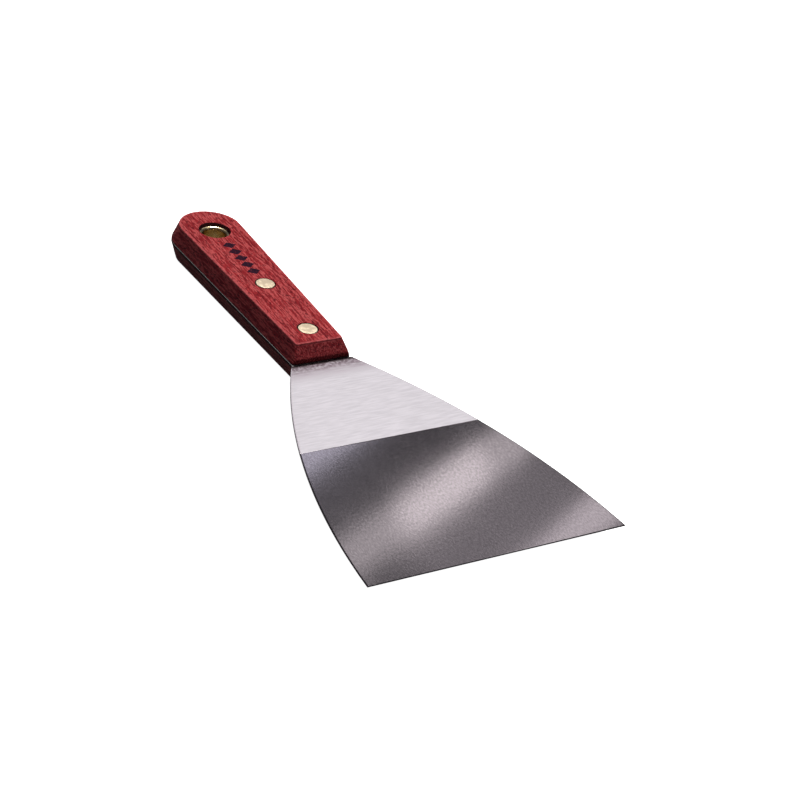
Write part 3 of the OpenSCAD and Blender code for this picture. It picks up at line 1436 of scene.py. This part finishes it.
@dataclass
class Studio:
    """Camera, pale floor and soft lights.

    Attributes:
        knife: the shared sizes.
        target: point that the camera faces.
        distance: from the target to the camera.
        azimuth_deg: the camera's angle round the target.
        elevation_deg: the camera's angle above it.
        roll_deg: the camera's turn about its own axis.
        lens: focal length in Blender's millimetres.
        floor_r: radius of the floor.
    """

    knife: Knife
    target: Vector = field(default_factory=lambda: Vector((24.23, 15.35, 7.25)) * MM)
    distance: float = 684.56 * MM
    azimuth_deg: float = -36.55
    elevation_deg: float = 31.548
    roll_deg: float = 10.82
    lens: float = 86.8
    floor_r: float = 12.0

    def camera(self) -> bpy.types.Object:
        """Stands the camera at its angles round the target, rolled about its own axis.

        Returns:
            The camera.
        """
        a, e = math.radians(self.azimuth_deg), math.radians(self.elevation_deg)
        back = Vector((math.cos(e) * math.cos(a), math.cos(e) * math.sin(a), math.sin(e)))
        level = Vector((0, 0, 1)).cross(back).normalized()
        up = back.cross(level)
        roll = math.radians(self.roll_deg)
        right = level * math.cos(roll) + up * math.sin(roll)
        data = bpy.data.cameras.new("camera")
        data.lens = self.lens
        data.clip_start, data.clip_end = 0.01, 50
        camera = link(bpy.data.objects.new("camera", data))
        turn = Matrix((right, back.cross(right), back)).transposed().to_4x4()
        camera.matrix_world = Matrix.Translation(self.target + back * self.distance) @ turn
        bpy.context.scene.camera = camera
        return camera

    def floor(self) -> bpy.types.Object:
        """A wide white disc, which throws less light on the knife than it shows.

        Returns:
            The floor.
        """
        steps = ((1, -0.02), (1, 0), (0.001, 0))
        disc = skin("studio_floor", np.stack([ring_at(0, self.floor_r * r, z, 96) for r, z in steps]))
        material, n, shader, at = new_material("floor_white")
        rays = n.add("LightPath").outputs
        seen = n.grey(n.ramp(n.noise(at, 3.0), 0.2, 0.8, 0.80, 0.84))
        n.put(n.mix(rays["Is Camera Ray"], rgba((0.10, 0.10, 0.10)), seen), shader.inputs["Base Color"])
        glow = n.math("MULTIPLY_ADD", rays["Is Glossy Ray"], 0.18, rays["Is Camera Ray"])
        n.put(n.grey(glow), shader.inputs["Emission Color"])
        shader.inputs["Emission Strength"].default_value = 1.0
        shader.inputs["Roughness"].default_value = 0.9
        shader.inputs["Specular IOR Level"].default_value = 0.0
        disc.data.materials.append(material)
        return disc

    def world(self) -> None:
        """A white backdrop to look at and a dim grey room to light and mirror."""
        world = bpy.data.worlds.new("studio")
        world.use_nodes = True
        bpy.context.scene.world = world
        n = Nodes(world.node_tree)
        output = world.node_tree.nodes["World Output"]
        room = n.add("Background", {"Color": rgba((0.93, 0.92, 1.0)), "Strength": 0.073})
        white = n.add("Background", {"Color": rgba((1, 1, 1)), "Strength": 1.1})
        path = n.add("LightPath").outputs["Is Camera Ray"]
        both = n.add("MixShader", {0: path, 1: room.outputs[0], 2: white.outputs[0]})
        n.put(both.outputs[0], output.inputs["Surface"])

    def mirrored(
        self, name: str, ends: tuple[tuple[float, float], tuple[float, float]], width: float,
        depth: float, radiance: float, colour: Colour,
    ) -> Softbox:
        """A strip light that the blade shows to the camera as a band between two points.

        The band's ends lie on the blade's plane. Each is carried on along the camera's line of
        sight by the depth, and then mirrored up through that plane.

        Args:
            name: the light's name.
            ends: x and y of the band's two ends on the blade, in millimetres.
            width: the band's width on the blade, in millimetres.
            depth: how far behind the blade the strip's mirror image lies.
            radiance: brightness.
            colour: tint.

        Returns:
            The light, ready to build.
        """
        camera = bpy.context.scene.camera.matrix_world.translation
        plane = self.knife.mid_z + self.knife.tang_t / 2
        on_blade = [Vector((x * MM, y * MM, plane)) for x, y in ends]
        corners = []
        for start in on_blade:
            beyond = start + (start - camera).normalized() * depth
            corners.append(Vector((beyond.x, beyond.y, 2 * plane - beyond.z)))
        run = corners[1] - corners[0]
        aim = (on_blade[0] + on_blade[1]) / 2
        spread = 1 + depth / (aim - camera).length
        size = (run.length, width * MM * spread)
        return Softbox(name, (corners[0] + corners[1]) / 2, aim, size, radiance, colour, run)

    def lights(self) -> None:
        """Hangs the key light above and behind, and the strips that the blade mirrors."""
        middle = Vector((0, 0, self.knife.mid_z))
        key_dir = Vector((-0.35, 0.22, 1)).normalized()
        boxes = [
            Softbox("key", middle + key_dir * 1.5, middle, (0.40, 0.34), 58.0, (1, 0.985, 0.97),
                    Vector((1, 1, 0))),
            self.mirrored("band", ((71, 17), (87, -18)), 12, 0.18, 0.62, (1, 0.97, 0.94)),
            self.mirrored("band_ends", ((64, 32), (101, -50)), 13, 0.18, 0.62, (1, 0.97, 0.95)),
            self.mirrored("band_flank", ((84, 40), (112, -22)), 28, 0.18, 0.17, (1, 0.96, 0.97)),
            self.mirrored("corner_band", ((101, 56), (134, -10)), 13, 0.18, 0.8, (1, 0.96, 0.96)),
            self.mirrored("near_band", ((29.5, 0), (55.5, -52)), 11, 0.16, 0.86, (0.86, 0.88, 1.0)),
        ]
        for box in boxes:
            box.build()


# ---------------------------------------------------------------- assembly


def main() -> None:
    """Builds the knife piece by piece, then the studio round it."""
    logging.basicConfig(level=logging.INFO, format="%(name)s: %(message)s", stream=sys.stdout)
    knife = Knife.from_frame()
    effects = Effects()
    top_z = knife.mid_z + knife.tang_t / 2 + knife.scale_t
    names = ("front_rivet", "rear_rivet")
    rivets = [Rivet(knife, name, centre_x(f"{name}_socket")) for name in names]

    holes = {rivet.x: rivet.shank_r + 0.15 * MM for rivet in rivets}
    holes[knife.hang_x] = knife.bore_r + 0.65 * MM
    blade = Blade(knife, hole_rs=holes)
    steel = SteelFinish(blade.grind_x, knife.front_x, knife.mid_z).build("blade_steel", effects)
    hand_over(blade.build(), "blade", steel)

    stamp = Stamp(centre_x=(knife.hang_x + rivets[1].x) / 2 + 1.5 * MM, top_z=top_z - 0.05 * MM)
    woods = {
        Side.TOP: WoodFinish().build("scale_wood_top", effects, stamp),
        Side.BOTTOM: WoodFinish().build("scale_wood_bottom", effects),
    }
    for side in Side:
        half = Half.SOCKET if side is Side.TOP else Half.PIN
        heads = {rivet.x: head_proud(f"{rivet.name}_{half.value}", side, knife) for rivet in rivets}
        node = f"{side.name.lower()}_scale"
        scale = Scale(knife, side, heads)
        hand_over(scale.build(f"{node}_wood"), node, woods[side])

    rivet_brass = BrassFinish().build("rivet_brass", effects)
    for rivet in rivets:
        for half in Half:
            hand_over(rivet.build(half), f"{rivet.name}_{half.value}", rivet_brass)
    eyelet_brass = BrassFinish(clean=(1.0, 0.86, 0.58), dull=(0.62, 0.44, 0.20), rough=0.14)
    hand_over(Eyelet(knife).build(), "hang_hole_eyelet",
              eyelet_brass.build("eyelet_brass", effects))

    studio = Studio(knife)
    studio.camera()
    studio.floor()
    studio.world()
    studio.lights()
    bpy.context.scene.view_settings.view_transform = "Standard"


def centre_x(node: str) -> float:
    """Middle of a CAD node's box along x."""
    low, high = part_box(node)
    return (low.x + high.x) / 2


def head_proud(node: str, side: Side, knife: Knife) -> float:
    """How far a rivet's head stands out of its scale's face.

    Args:
        node: the rivet half's CAD node.
        side: the scale's side.
        knife: the shared sizes.

    Returns:
        The distance, negative if the head is sunk.
    """
    low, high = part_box(node)
    outer = high.z if side is Side.TOP else low.z
    face = knife.tang_t / 2 + knife.scale_t
    return side.value * (outer - knife.mid_z) - face


if __name__ == "__main__":
    main()
